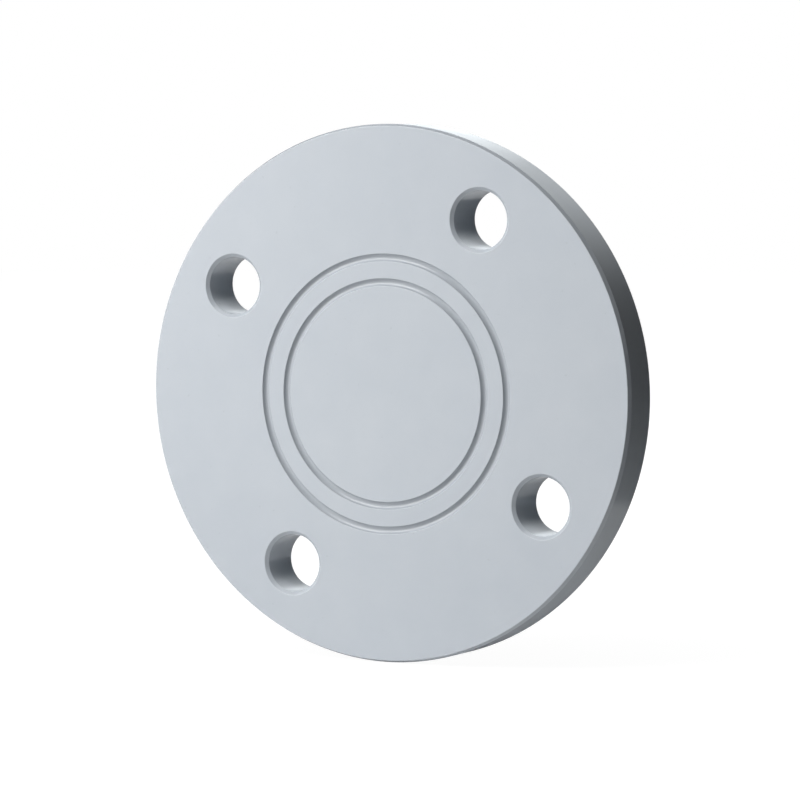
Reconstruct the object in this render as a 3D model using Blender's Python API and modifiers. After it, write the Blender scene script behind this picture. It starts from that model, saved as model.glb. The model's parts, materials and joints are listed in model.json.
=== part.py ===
"""Blind flange, DN 50: a round moulded plastic plate that closes the end of a flanged pipe.

The real piece is one solid moulding, so the model is one turned body with its bolt holes cut
through. Metres, +Z up. The flange stands upright, as it is bolted to a horizontal pipe: the
origin is the centre of the sealing face, which faces -Y, and the plate reaches back along +Y.
"""

from math import asin, cos, pi, radians, sin

import bmesh
import bpy

MM = 0.001

# Driving dimensions.
OUTER_DIAMETER = 165 * MM
THICKNESS = 16 * MM
RIM_CHAMFER_WIDTH = 0.65 * MM
RIM_CHAMFER_DEPTH = 1.5 * MM
HOLE_CHAMFER = 1 * MM
BOLT_CIRCLE_DIAMETER = 125 * MM
BOLT_HOLE_DIAMETER = 18 * MM
BOLT_COUNT = 4
FIRST_BOLT_ANGLE = radians(58.8)
GROOVE_DIAMETERS = (68.6 * MM, 83.7 * MM)
GROOVE_WIDTH = 2.6 * MM
GROOVE_DEPTH = 1 * MM

# How finely round shapes are cut into flats.
RIM_STEPS = 96
HOLE_STEPS = 32
GROOVE_STEPS = 6
MERGE_DISTANCE = 0.01 * MM
CUTTER_OVERRUN = 1 * MM
SHARP_ANGLE = radians(30)

PLASTIC_COLOR = (0.40, 0.43, 0.465, 1.0)
PLASTIC_ROUGHNESS = 0.25

# A turned object's own +Z looks out of the sealing face, so a quarter turn about X aims it at -Y.
TURNED_TO_WORLD = (pi / 2, 0.0, 0.0)


def clear_scene():
    for obj in list(bpy.data.objects):
        bpy.data.objects.remove(obj, do_unlink=True)


def new_collection(name):
    collection = bpy.data.collections.new(name)
    bpy.context.scene.collection.children.link(collection)
    return collection


def plastic_material():
    material = bpy.data.materials.new("light_grey_plastic")
    material.use_nodes = True
    shader = material.node_tree.nodes["Principled BSDF"]
    shader.inputs["Base Color"].default_value = PLASTIC_COLOR
    shader.inputs["Roughness"].default_value = PLASTIC_ROUGHNESS
    shader.inputs["Metallic"].default_value = 0.0
    return material


def turned_object(name, outline, steps, collection):
    """Spins an outline of (radius, height) points, listed from top to bottom, into a solid."""
    mesh = bpy.data.meshes.new(name)
    edit = bmesh.new()
    points = [edit.verts.new((radius, 0.0, height)) for radius, height in outline]
    for start, end in zip(points, points[1:]):
        edit.edges.new((start, end))
    edit.to_mesh(mesh)
    edit.free()
    turned = bpy.data.objects.new(name, mesh)
    collection.objects.link(turned)
    turned.rotation_euler = TURNED_TO_WORLD
    screw = turned.modifiers.new("Turn", "SCREW")
    screw.axis = "Z"
    screw.angle = 2 * pi
    screw.steps = steps
    screw.render_steps = steps
    screw.use_merge_vertices = True
    screw.merge_threshold = MERGE_DISTANCE
    return turned


def groove_outline(center_radius):
    """A round-bottomed groove in the sealing face, from its inner edge to its outer edge."""
    half_width = GROOVE_WIDTH / 2
    arc_radius = (half_width**2 + GROOVE_DEPTH**2) / (2 * GROOVE_DEPTH)
    arc_center_height = arc_radius - GROOVE_DEPTH
    half_angle = asin(half_width / arc_radius)
    angles = [half_angle * (2 * step / GROOVE_STEPS - 1) for step in range(GROOVE_STEPS + 1)]
    return [
        (center_radius + arc_radius * sin(angle), arc_center_height - arc_radius * cos(angle))
        for angle in angles
    ]


def plate_outline():
    """Half the plate's section: the grooved sealing face, the chamfered rim and the plain back."""
    rim_radius = OUTER_DIAMETER / 2
    outline = [(0.0, 0.0)]
    for diameter in GROOVE_DIAMETERS:
        outline += groove_outline(diameter / 2)
    outline += [
        (rim_radius - RIM_CHAMFER_WIDTH, 0.0),
        (rim_radius, -RIM_CHAMFER_DEPTH),
        (rim_radius, RIM_CHAMFER_DEPTH - THICKNESS),
        (rim_radius - RIM_CHAMFER_WIDTH, -THICKNESS),
        (0.0, -THICKNESS),
    ]
    return outline


def bolt_hole_outline():
    """Half the section of what a drill and two countersinks take away, past both faces."""
    hole_radius = BOLT_HOLE_DIAMETER / 2
    flared_radius = hole_radius + HOLE_CHAMFER + CUTTER_OVERRUN
    return [
        (0.0, CUTTER_OVERRUN),
        (flared_radius, CUTTER_OVERRUN),
        (hole_radius, -HOLE_CHAMFER),
        (hole_radius, HOLE_CHAMFER - THICKNESS),
        (flared_radius, -THICKNESS - CUTTER_OVERRUN),
        (0.0, -THICKNESS - CUTTER_OVERRUN),
    ]


def add_bolt_hole_cutters(collection):
    circle_radius = BOLT_CIRCLE_DIAMETER / 2
    for index in range(BOLT_COUNT):
        angle = FIRST_BOLT_ANGLE + 2 * pi * index / BOLT_COUNT
        name = f"bolt_hole_cutter_{index + 1}"
        cutter = turned_object(name, bolt_hole_outline(), HOLE_STEPS, collection)
        cutter.location = (circle_radius * cos(angle), 0.0, circle_radius * sin(angle))
        cutter.hide_render = True
        cutter.display_type = "WIRE"


def add_plate(collection, cutters):
    plate = turned_object("blind_flange_plate", plate_outline(), RIM_STEPS, collection)
    plate.data.materials.append(plastic_material())
    holes = plate.modifiers.new("Bolt holes", "BOOLEAN")
    holes.operation = "DIFFERENCE"
    holes.solver = "EXACT"
    holes.operand_type = "COLLECTION"
    holes.collection = cutters
    return plate


def apply_and_shade(obj):
    """Applies the modifiers, shades the round faces smooth and keeps the chamfers' edges crisp."""
    graph = bpy.context.evaluated_depsgraph_get()
    finished = bpy.data.meshes.new_from_object(obj.evaluated_get(graph))
    finished.shade_smooth()
    finished.set_sharp_from_angle(angle=SHARP_ANGLE)
    obj.modifiers.clear()
    obj.data = finished


def main():
    clear_scene()
    parts = new_collection("blind_flange")
    cutters = new_collection("cutters")
    add_bolt_hole_cutters(cutters)
    plate = add_plate(parts, cutters)
    apply_and_shade(plate)


main()
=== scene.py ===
"""Looks of a moulded plastic blind flange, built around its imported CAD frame.

The plate stands upright with its sealing face towards -Y, as in the frame, and the studio is
laid out around it. Metres, +Z up.
"""

import json
from math import atan2, cos, pi, radians, sin, tan

import bmesh
import bpy
from mathutils import Matrix, Vector

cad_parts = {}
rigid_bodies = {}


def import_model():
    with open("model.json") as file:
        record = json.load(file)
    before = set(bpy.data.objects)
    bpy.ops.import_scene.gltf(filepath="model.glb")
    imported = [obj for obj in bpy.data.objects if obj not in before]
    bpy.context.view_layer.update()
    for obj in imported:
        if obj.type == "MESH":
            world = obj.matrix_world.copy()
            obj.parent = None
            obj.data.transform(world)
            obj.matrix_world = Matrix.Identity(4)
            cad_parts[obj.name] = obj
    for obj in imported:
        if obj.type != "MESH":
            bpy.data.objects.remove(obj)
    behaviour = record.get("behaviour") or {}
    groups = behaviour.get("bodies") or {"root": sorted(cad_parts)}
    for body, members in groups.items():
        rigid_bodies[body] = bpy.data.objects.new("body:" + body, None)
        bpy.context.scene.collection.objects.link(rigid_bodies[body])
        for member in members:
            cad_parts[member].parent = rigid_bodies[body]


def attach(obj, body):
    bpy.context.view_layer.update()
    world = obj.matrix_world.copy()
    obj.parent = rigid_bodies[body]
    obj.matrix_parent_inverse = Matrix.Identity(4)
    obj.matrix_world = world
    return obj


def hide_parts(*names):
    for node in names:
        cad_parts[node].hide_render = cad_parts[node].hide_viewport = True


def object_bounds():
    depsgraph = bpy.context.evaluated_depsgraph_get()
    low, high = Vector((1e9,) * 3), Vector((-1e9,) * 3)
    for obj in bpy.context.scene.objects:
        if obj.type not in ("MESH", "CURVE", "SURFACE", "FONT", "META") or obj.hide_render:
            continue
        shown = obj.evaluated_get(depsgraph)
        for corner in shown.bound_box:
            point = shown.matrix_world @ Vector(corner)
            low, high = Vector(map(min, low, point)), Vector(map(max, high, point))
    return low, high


for leftover in list(bpy.data.objects):
    bpy.data.objects.remove(leftover, do_unlink=True)

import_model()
cad_low, cad_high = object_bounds()

MM = 0.001

# The plate: its rim and its thickness from the frame's box, and the drilling and the grooves.
PLATE_NODE = "blind_flange_plate"
RIM_RADIUS = (cad_high.x - cad_low.x) / 2
FACE_Y = cad_low.y
BACK_Y = cad_high.y
THICKNESS = BACK_Y - FACE_Y
RIM_CHAMFER_WIDTH = 0.65 * MM
RIM_CHAMFER_DEPTH = 1.5 * MM
HOLE_CHAMFER = 1.0 * MM
BOLT_CIRCLE_RADIUS = 62.5 * MM
BOLT_HOLE_RADIUS = 9.0 * MM
BOLT_COUNT = 4
FIRST_BOLT_DEGREES = 58.8
BOLT_ANGLES = [
    radians(FIRST_BOLT_DEGREES + 360 / BOLT_COUNT * index) for index in range(BOLT_COUNT)
]
GROOVE_MIDDLES = (34.25 * MM, 41.8 * MM)
GROOVE_WIDTH = 2.4 * MM
GROOVE_DEPTH = 1.0 * MM
LIP_RADIUS = 0.15 * MM
EDGE_RADIUS = 0.25 * MM

# How finely the round shapes are divided.
RIM_STEPS = 256
HOLE_STEPS = 96
GROOVE_STEPS = 20
EDGE_STEPS = 6
FLAT_FACE_WEIGHT = 100

# Two values that each vertex carries for the material: how far it is rubbed, as the middle of an
# edge is, and how far into a groove it lies, where the colour is darkened as painted shade.
WEAR_ATTRIBUTE = "edge_wear"
GROOVE_SHADE_ATTRIBUTE = "painted_groove_shade"
GROOVE_SHADE_FADE_POWER = 0.25

# The moulding's finish. Its colours are linear.
WHITE = (1.0, 1.0, 1.0, 1.0)
PLASTIC_COOL = (0.388, 0.419, 0.456, 1.0)
PLASTIC_WARM = (0.412, 0.441, 0.474, 1.0)
# Darker copies of the plastic's colours, used as painted shade in the grooves.
GROOVE_SHADE_COOL = (0.330, 0.357, 0.389, 1.0)
GROOVE_SHADE_WARM = (0.352, 0.377, 0.405, 1.0)
RUBBED_COLOR = (0.530, 0.560, 0.590, 1.0)
SPECK_COLOR = (0.320, 0.344, 0.372, 1.0)
# Each noise has the size of its clouds and its detail.
CLOUDS = (40 * MM, 2.0)
BLOTCHES = (11 * MM, 3.0)
SPECKS = (1.6 * MM, 1.0)
RUBBING = (2.5 * MM, 4.0)
SHEEN = (7 * MM, 4.0)
RIPPLE = (9 * MM, 1.0)
GRAIN = (0.35 * MM, 2.0)
# The part of each noise's values that is stretched over what it controls, from low to high.
USUAL_VALUES = (0.3, 0.7)
SPECK_VALUES = (0.72, 0.80)
RUBBING_VALUES = (0.35, 0.65)
SPECK_STRENGTHS = (0.0, 0.35)
RUBBING_STRENGTHS = (0.15, 0.75)
ROUGHNESSES = (0.17, 0.23)
RUBBED_ROUGHER = 0.12
RIPPLE_HEIGHT = 0.006 * MM
GRAIN_HEIGHT = 0.0015 * MM

# The camera looks at a point just beside the middle of the sealing face.
VIEW_AZIMUTH = radians(28.1)
VIEW_ELEVATION = radians(3.58)
CAMERA_DISTANCE = 1.208
AIM_RIGHT = 4.82 * MM
AIM_UP = -1.77 * MM
LENS_MM = 177.8
SENSOR_MM = 36.0

# The studio: a white card on the table under the plate, which ends a little to its right, and
# softboxes named for where they stand. Each softbox has its azimuth and elevation in degrees
# (0 is in front of the sealing face and 90 to its right), its distance, its width and height,
# and its power in watts.
TABLE_EDGE = 163 * MM
TABLE_REACH = 0.8
TABLE_DROP = 0.1 * MM
TABLE_COLOR = (0.8, 0.8, 0.8, 1.0)
SOFTBOX_PEAK = 16.0
SOFTBOXES = {
    "near_front": (322, 0, 0.7, 0.6, 0.6, 1.36),
    "near_left": (290, 0, 0.7, 0.6, 0.6, 3.1),
    "key_low": (316, 12, 1.8, 0.9, 0.9, 15.9),
    "key_left": (312, 30, 1.8, 0.9, 0.9, 14.3),
    "key": (328, 28, 1.8, 1.0, 1.0, 14.8),
    "key_high": (335, 48, 1.8, 1.0, 1.0, 38.8),
    "front": (334, 2, 1.8, 0.9, 0.8, 1.75),
    "overhead": (20, 75, 0.8, 0.7, 0.7, 4.27),
}
# The softboxes behind the plate are a cooler white.
BACK_SOFTBOXES = {
    "back_low": (204, 14, 1.5, 0.7, 0.9, 2.83),
    "back": (182, 32, 1.5, 1.0, 1.0, 1.42),
    "back_wide": (190, 30, 1.5, 1.8, 1.4, 7.0),
}
BACK_TINT = (0.92, 0.97, 1.0)
# A gridded softbox behind the plate, a little to its left: its narrow beam lights the plain back
# face, and passes the rim and the hole walls that are seen from the front. It is left out of
# reflections, so that it doesn't glare along the hole walls.
BACK_BEAM = ("back_beam", 186, 0, 1.2, 0.5, 0.5, 0.55)
BACK_BEAM_SPREAD = radians(8)
FLOOR_RADIUS = 4.0
FLOOR_STEPS = 128
FLOOR_DROP = 0.2 * MM
FLOOR_COLOR = (0.12, 0.12, 0.12, 1.0)
# The floor's glow rises between these two distances from the middle of the sealing face.
SHADOW_FADES = (0.06, 0.22)
FLOOR_GLOWS = (0.96, 1.0)


def direction(azimuth, elevation):
    """The way from the plate to a place at that azimuth and elevation."""
    return Vector(
        (sin(azimuth) * cos(elevation), -cos(azimuth) * cos(elevation), sin(elevation))
    )


# An outline is a list of (radius, height, wear, groove shade) points: wear is 1 in the middle of a
# rounded edge and 0 where it meets the surfaces beside it, and the groove shade is the same for
# the floor of a groove, where it sets how far painted shade darkens the colour.


def arc(center, radius, start, end, steps, worn=0.0, groove_shade=0.0):
    """An outline along part of a circle, both ends included."""
    points = []
    for step in range(steps + 1):
        angle = start + (end - start) * step / steps
        swell = sin(pi * step / steps)
        place = (center[0] + radius * cos(angle), center[1] + radius * sin(angle))
        points.append((*place, worn * swell, groove_shade * swell**GROOVE_SHADE_FADE_POWER))
    return points


def rounded(points, radius, steps):
    """An outline through these points, each inner one replaced by an arc that meets both sides."""
    outline = []
    for before, corner, after in zip(points, points[1:], points[2:]):
        to_before = (before - corner).normalized()
        to_after = (after - corner).normalized()
        half_angle = to_before.angle(to_after) / 2
        center = corner + (to_before + to_after).normalized() * radius / sin(half_angle)
        start = (corner + to_before * radius / tan(half_angle) - center).normalized()
        end = (corner + to_after * radius / tan(half_angle) - center).normalized()
        for step in range(steps + 1):
            point = center + radius * start.slerp(end, step / steps)
            outline.append((*point, sin(pi * step / steps), 0.0))
    return outline


def groove_outline(middle):
    """The outline of a round-bottomed groove with rounded lips, from the inside out."""
    radius = ((GROOVE_WIDTH / 2) ** 2 + GROOVE_DEPTH**2) / (2 * GROOVE_DEPTH)
    center_height = radius - GROOVE_DEPTH
    # Each lip's arc touches the face above it and the groove's arc beside it.
    rise = center_height + LIP_RADIUS
    reach = ((radius + LIP_RADIUS) ** 2 - rise**2) ** 0.5
    dip = atan2(rise, reach)
    inner_lip = (middle - reach, -LIP_RADIUS)
    outer_lip = (middle + reach, -LIP_RADIUS)
    floor = (middle, center_height)
    points = arc(inner_lip, LIP_RADIUS, pi / 2, dip, EDGE_STEPS, worn=1.0)
    # The floor of the groove carries the painted shade.
    points += arc(floor, radius, pi + dip, 2 * pi - dip, GROOVE_STEPS, groove_shade=1.0)[1:]
    points += arc(outer_lip, LIP_RADIUS, pi - dip, pi / 2, EDGE_STEPS, worn=1.0)[1:]
    return points


def edge_outline(radius, outward, width, depth):
    """The outline down a rim (outward 1) or a bore (outward -1), chamfered at both ends."""
    # It starts and ends on the flats, one chamfer's width away from the shoulders.
    flat = radius - outward * 2 * width
    shoulder = radius - outward * width
    corners = [
        (flat, 0.0),
        (shoulder, 0.0),
        (radius, -depth),
        (radius, depth - THICKNESS),
        (shoulder, -THICKNESS),
        (flat, -THICKNESS),
    ]
    return rounded([Vector(corner) for corner in corners], EDGE_RADIUS, EDGE_STEPS)


def add_ring(edit, point, steps, center=(0.0, 0.0)):
    """A ring of vertices about an axis along Y, for one point of an outline."""
    radius, height, wear, groove_shade = point
    layers = edit.verts.layers.float
    ring = []
    for step in range(steps):
        angle = 2 * pi * step / steps
        x = center[0] + radius * cos(angle)
        z = center[1] + radius * sin(angle)
        ring.append(edit.verts.new((x, FACE_Y - height, z)))
        ring[-1][layers[WEAR_ATTRIBUTE]] = wear
        ring[-1][layers[GROOVE_SHADE_ATTRIBUTE]] = groove_shade
    return ring


def add_band(edit, ring, following):
    """Quads between two rings with the same number of vertices."""
    steps = len(ring)
    for step in range(steps):
        after = (step + 1) % steps
        edit.faces.new((ring[step], ring[after], following[after], following[step]))


def add_turned(edit, outline, steps, center=(0.0, 0.0)):
    """The surface that an outline sweeps about its axis, as its list of rings."""
    rings = [add_ring(edit, point, steps, center) for point in outline]
    for ring, following in zip(rings, rings[1:]):
        add_band(edit, ring, following)
    return rings


def fill_flat(edit, rings, normal):
    """Fills the flat region that the first ring bounds and the other rings are holes in."""
    edges = [
        edit.edges.get((start, end)) or edit.edges.new((start, end))
        for ring in rings
        for start, end in zip(ring, ring[1:] + ring[:1])
    ]
    bmesh.ops.triangle_fill(
        edit, use_beauty=True, use_dissolve=False, edges=edges, normal=normal
    )


def build_plate():
    """The whole moulding as one closed mesh."""
    edit = bmesh.new()
    edit.verts.layers.float.new(WEAR_ATTRIBUTE)
    edit.verts.layers.float.new(GROOVE_SHADE_ATTRIBUTE)
    inner_groove, outer_groove = [
        add_turned(edit, groove_outline(middle), RIM_STEPS) for middle in GROOVE_MIDDLES
    ]
    edit.faces.new(inner_groove[0])
    add_band(edit, inner_groove[-1], outer_groove[0])
    rim_outline = edge_outline(RIM_RADIUS, 1, RIM_CHAMFER_WIDTH, RIM_CHAMFER_DEPTH)
    rim = add_turned(edit, rim_outline, RIM_STEPS)
    bore_outline = edge_outline(BOLT_HOLE_RADIUS, -1, HOLE_CHAMFER, HOLE_CHAMFER)
    bores = []
    for angle in BOLT_ANGLES:
        center = (BOLT_CIRCLE_RADIUS * cos(angle), BOLT_CIRCLE_RADIUS * sin(angle))
        bores.append(add_turned(edit, bore_outline, HOLE_STEPS, center))
    fill_flat(edit, [rim[0], outer_groove[-1]] + [bore[0] for bore in bores], (0, -1, 0))
    fill_flat(edit, [rim[-1]] + [bore[-1] for bore in bores], (0, 1, 0))
    bmesh.ops.recalc_face_normals(edit, faces=edit.faces)
    mesh = bpy.data.meshes.new("moulded_plate")
    edit.to_mesh(mesh)
    edit.free()
    mesh.shade_smooth()
    plate = bpy.data.objects.new("moulded_plate", mesh)
    bpy.context.scene.collection.objects.link(plate)
    weighted = plate.modifiers.new("Flat faces stay flat", "WEIGHTED_NORMAL")
    weighted.weight = FLAT_FACE_WEIGHT
    return plate


class Shading:
    """Short calls that add nodes to one node tree and return the output that matters."""

    def __init__(self, tree):
        self.tree = tree

    def add(self, kind, output, inputs, **settings):
        node = self.tree.nodes.new("ShaderNode" + kind)
        for name, value in settings.items():
            setattr(node, name, value)
        for name, value in inputs.items():
            if isinstance(value, bpy.types.NodeSocket):
                self.tree.links.new(value, node.inputs[name])
            else:
                node.inputs[name].default_value = value
        return node.outputs[output]

    def math(self, operation, first, second):
        return self.add("Math", "Value", {0: first, 1: second}, operation=operation)

    def noise(self, place, size, detail):
        """Noise between 0 and 1, in clouds of about that size."""
        inputs = {"Vector": place, "Scale": 1 / size, "Detail": detail}
        return self.add("TexNoise", "Fac", inputs)

    def spread(self, value, between, over=(0.0, 1.0)):
        """The value, with the one range stretched over the other and held to it."""
        inputs = {"Value": value, "From Min": between[0], "From Max": between[1]}
        inputs |= {"To Min": over[0], "To Max": over[1]}
        return self.add("MapRange", "Result", inputs)

    def bump(self, height, distance, inputs):
        """A normal tilted by the height, where a height of 1 stands that far out."""
        inputs = {"Height": height, "Strength": 1.0, "Distance": distance, **inputs}
        return self.add("Bump", "Normal", inputs)

    def blend(self, factor, first, second):
        """A colour between two others."""
        node = self.tree.nodes.new("ShaderNodeMix")
        node.data_type = "RGBA"
        factor_socket, first_socket, second_socket = [
            next(s for s in node.inputs if s.identifier == identifier)
            for identifier in ("Factor_Float", "A_Color", "B_Color")
        ]
        self.tree.links.new(factor, factor_socket)
        for socket, color in ((first_socket, first), (second_socket, second)):
            if isinstance(color, bpy.types.NodeSocket):
                self.tree.links.new(color, socket)
            else:
                socket.default_value = color
        return next(s for s in node.outputs if s.identifier == "Result_Color")


def plastic():
    """Satin moulded plastic: faint clouds in its colour, a fine grain, edges rubbed paler, and
    painted shade in the grooves.
    """
    material = bpy.data.materials.new("light_grey_plastic")
    material.use_nodes = True
    shader = material.node_tree.nodes["Principled BSDF"]
    shading = Shading(material.node_tree)
    place = shading.add("TexCoord", "Object", {})

    clouds = shading.spread(shading.noise(place, *CLOUDS), USUAL_VALUES)
    blotches = shading.spread(shading.noise(place, *BLOTCHES), USUAL_VALUES)
    tone = shading.math("MULTIPLY", shading.math("ADD", clouds, blotches), 0.5)
    color = shading.blend(tone, PLASTIC_COOL, PLASTIC_WARM)

    # The grooves are darkened towards darker copies of the colours, as painted shade.
    groove_shade = shading.add("Attribute", "Fac", {}, attribute_name=GROOVE_SHADE_ATTRIBUTE)
    color = shading.blend(groove_shade, color, shading.blend(tone, GROOVE_SHADE_COOL, GROOVE_SHADE_WARM))

    specks = shading.spread(shading.noise(place, *SPECKS), SPECK_VALUES, SPECK_STRENGTHS)
    color = shading.blend(specks, color, SPECK_COLOR)

    patches = shading.spread(shading.noise(place, *RUBBING), RUBBING_VALUES, RUBBING_STRENGTHS)
    edge_wear = shading.add("Attribute", "Fac", {}, attribute_name=WEAR_ATTRIBUTE)
    rubbed = shading.math("MULTIPLY", edge_wear, patches)
    color = shading.blend(rubbed, color, RUBBED_COLOR)

    roughness = shading.spread(shading.noise(place, *SHEEN), USUAL_VALUES, ROUGHNESSES)
    rougher = shading.math("MULTIPLY", rubbed, RUBBED_ROUGHER)
    roughness = shading.math("ADD", roughness, rougher)

    normal = shading.bump(shading.noise(place, *RIPPLE), RIPPLE_HEIGHT, {})
    normal = shading.bump(shading.noise(place, *GRAIN), GRAIN_HEIGHT, {"Normal": normal})

    for name, value in (("Base Color", color), ("Roughness", roughness), ("Normal", normal)):
        material.node_tree.links.new(value, shader.inputs[name])
    return material


def add_camera():
    right = Vector((cos(VIEW_AZIMUTH), sin(VIEW_AZIMUTH), 0.0))
    back = direction(VIEW_AZIMUTH, VIEW_ELEVATION)
    up = back.cross(right)
    data = bpy.data.cameras.new("camera")
    data.lens = LENS_MM
    data.sensor_width = SENSOR_MM
    camera = bpy.data.objects.new("camera", data)
    face_center = Vector((0.0, FACE_Y, 0.0))
    aim = face_center + right * AIM_RIGHT + up * AIM_UP
    camera.location = aim + back * CAMERA_DISTANCE
    camera.rotation_mode = "QUATERNION"
    camera.rotation_quaternion = (-back).to_track_quat("-Z", "Y")
    bpy.context.scene.collection.objects.link(camera)
    bpy.context.scene.camera = camera


def fade_to_edges(lamp):
    """Makes a softbox brightest in its middle and dark at its edges, as its cloth is."""
    lamp.use_nodes = True
    shading = Shading(lamp.node_tree)
    across = shading.add("NewGeometry", "Parametric", {})
    split = shading.add("SeparateXYZ", "X", {"Vector": across}).node
    glow = SOFTBOX_PEAK
    for axis in ("X", "Y"):
        place = split.outputs[axis]
        glow = shading.math("MULTIPLY", glow, place)
        glow = shading.math("MULTIPLY", glow, shading.math("SUBTRACT", 1.0, place))
    lamp.node_tree.links.new(glow, lamp.node_tree.nodes["Emission"].inputs["Strength"])


def add_softbox(name, azimuth, elevation, distance, width, height, power):
    data = bpy.data.lights.new(name, "AREA")
    data.shape = "RECTANGLE"
    data.size = width
    data.size_y = height
    data.energy = power
    softbox = bpy.data.objects.new(name, data)
    away = direction(radians(azimuth), radians(elevation))
    softbox.location = away * distance
    softbox.rotation_mode = "QUATERNION"
    softbox.rotation_quaternion = away.to_track_quat("Z", "Y")
    softbox.visible_camera = False
    fade_to_edges(data)
    bpy.context.scene.collection.objects.link(softbox)
    return softbox


def flat_object(name, corners, material):
    mesh = bpy.data.meshes.new(name)
    edit = bmesh.new()
    edit.faces.new([edit.verts.new(corner) for corner in corners])
    edit.to_mesh(mesh)
    edit.free()
    mesh.materials.append(material)
    flat = bpy.data.objects.new(name, mesh)
    bpy.context.scene.collection.objects.link(flat)
    return flat


def matt_white(name, color):
    material = bpy.data.materials.new(name)
    material.use_nodes = True
    shader = material.node_tree.nodes["Principled BSDF"]
    shader.inputs["Base Color"].default_value = color
    shader.inputs["Roughness"].default_value = 1.0
    shader.inputs["Specular IOR Level"].default_value = 0.0
    return material


def lit_floor():
    """White that glows nearly enough to wash out the plate's shadow, and wholly so further off."""
    material = matt_white("floor", FLOOR_COLOR)
    shader = material.node_tree.nodes["Principled BSDF"]
    shader.inputs["Emission Color"].default_value = WHITE
    shading = Shading(material.node_tree)
    place = shading.add("TexCoord", "Object", {})
    distance = shading.add("VectorMath", "Value", {0: place}, operation="LENGTH")
    glow = shading.spread(distance, SHADOW_FADES, FLOOR_GLOWS)
    material.node_tree.links.new(glow, shader.inputs["Emission Strength"])
    return material


def add_table():
    """A white card, squared up to the camera and unseen, that lights the plate from below."""
    turn = Matrix.Rotation(VIEW_AZIMUTH, 4, "Z")
    spans = [
        (-TABLE_REACH, -TABLE_REACH),
        (TABLE_EDGE, -TABLE_REACH),
        (TABLE_EDGE, TABLE_REACH),
        (-TABLE_REACH, TABLE_REACH),
    ]
    table_z = cad_low.z - TABLE_DROP
    corners = [turn @ Vector((x, y, table_z)) for x, y in spans]
    table = flat_object("table_card", corners, matt_white("table_card", TABLE_COLOR))
    table.visible_camera = False
    table.visible_shadow = False


def add_floor():
    floor_z = cad_low.z - FLOOR_DROP
    angles = [2 * pi * step / FLOOR_STEPS for step in range(FLOOR_STEPS)]
    corners = [(FLOOR_RADIUS * cos(a), FLOOR_RADIUS * sin(a), floor_z) for a in angles]
    floor = flat_object("floor", corners, lit_floor())
    floor.visible_diffuse = False
    floor.visible_glossy = False
    floor.visible_shadow = False


def add_white_background():
    world = bpy.data.worlds.new("white_background")
    bpy.context.scene.world = world
    world.use_nodes = True
    world.node_tree.nodes["Background"].inputs["Color"].default_value = WHITE
    world.cycles_visibility.diffuse = False
    world.cycles_visibility.glossy = False


plate = build_plate()
plate.data.materials.append(plastic())
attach(plate, "root")
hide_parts(PLATE_NODE)
add_camera()
for name, placing in SOFTBOXES.items():
    add_softbox(name, *placing)
for name, placing in BACK_SOFTBOXES.items():
    add_softbox(name, *placing).data.color = BACK_TINT
back_beam = add_softbox(*BACK_BEAM)
back_beam.data.spread = BACK_BEAM_SPREAD
back_beam.visible_glossy = False
add_table()
add_floor()
add_white_background()
bpy.context.scene.view_settings.view_transform = "Standard"
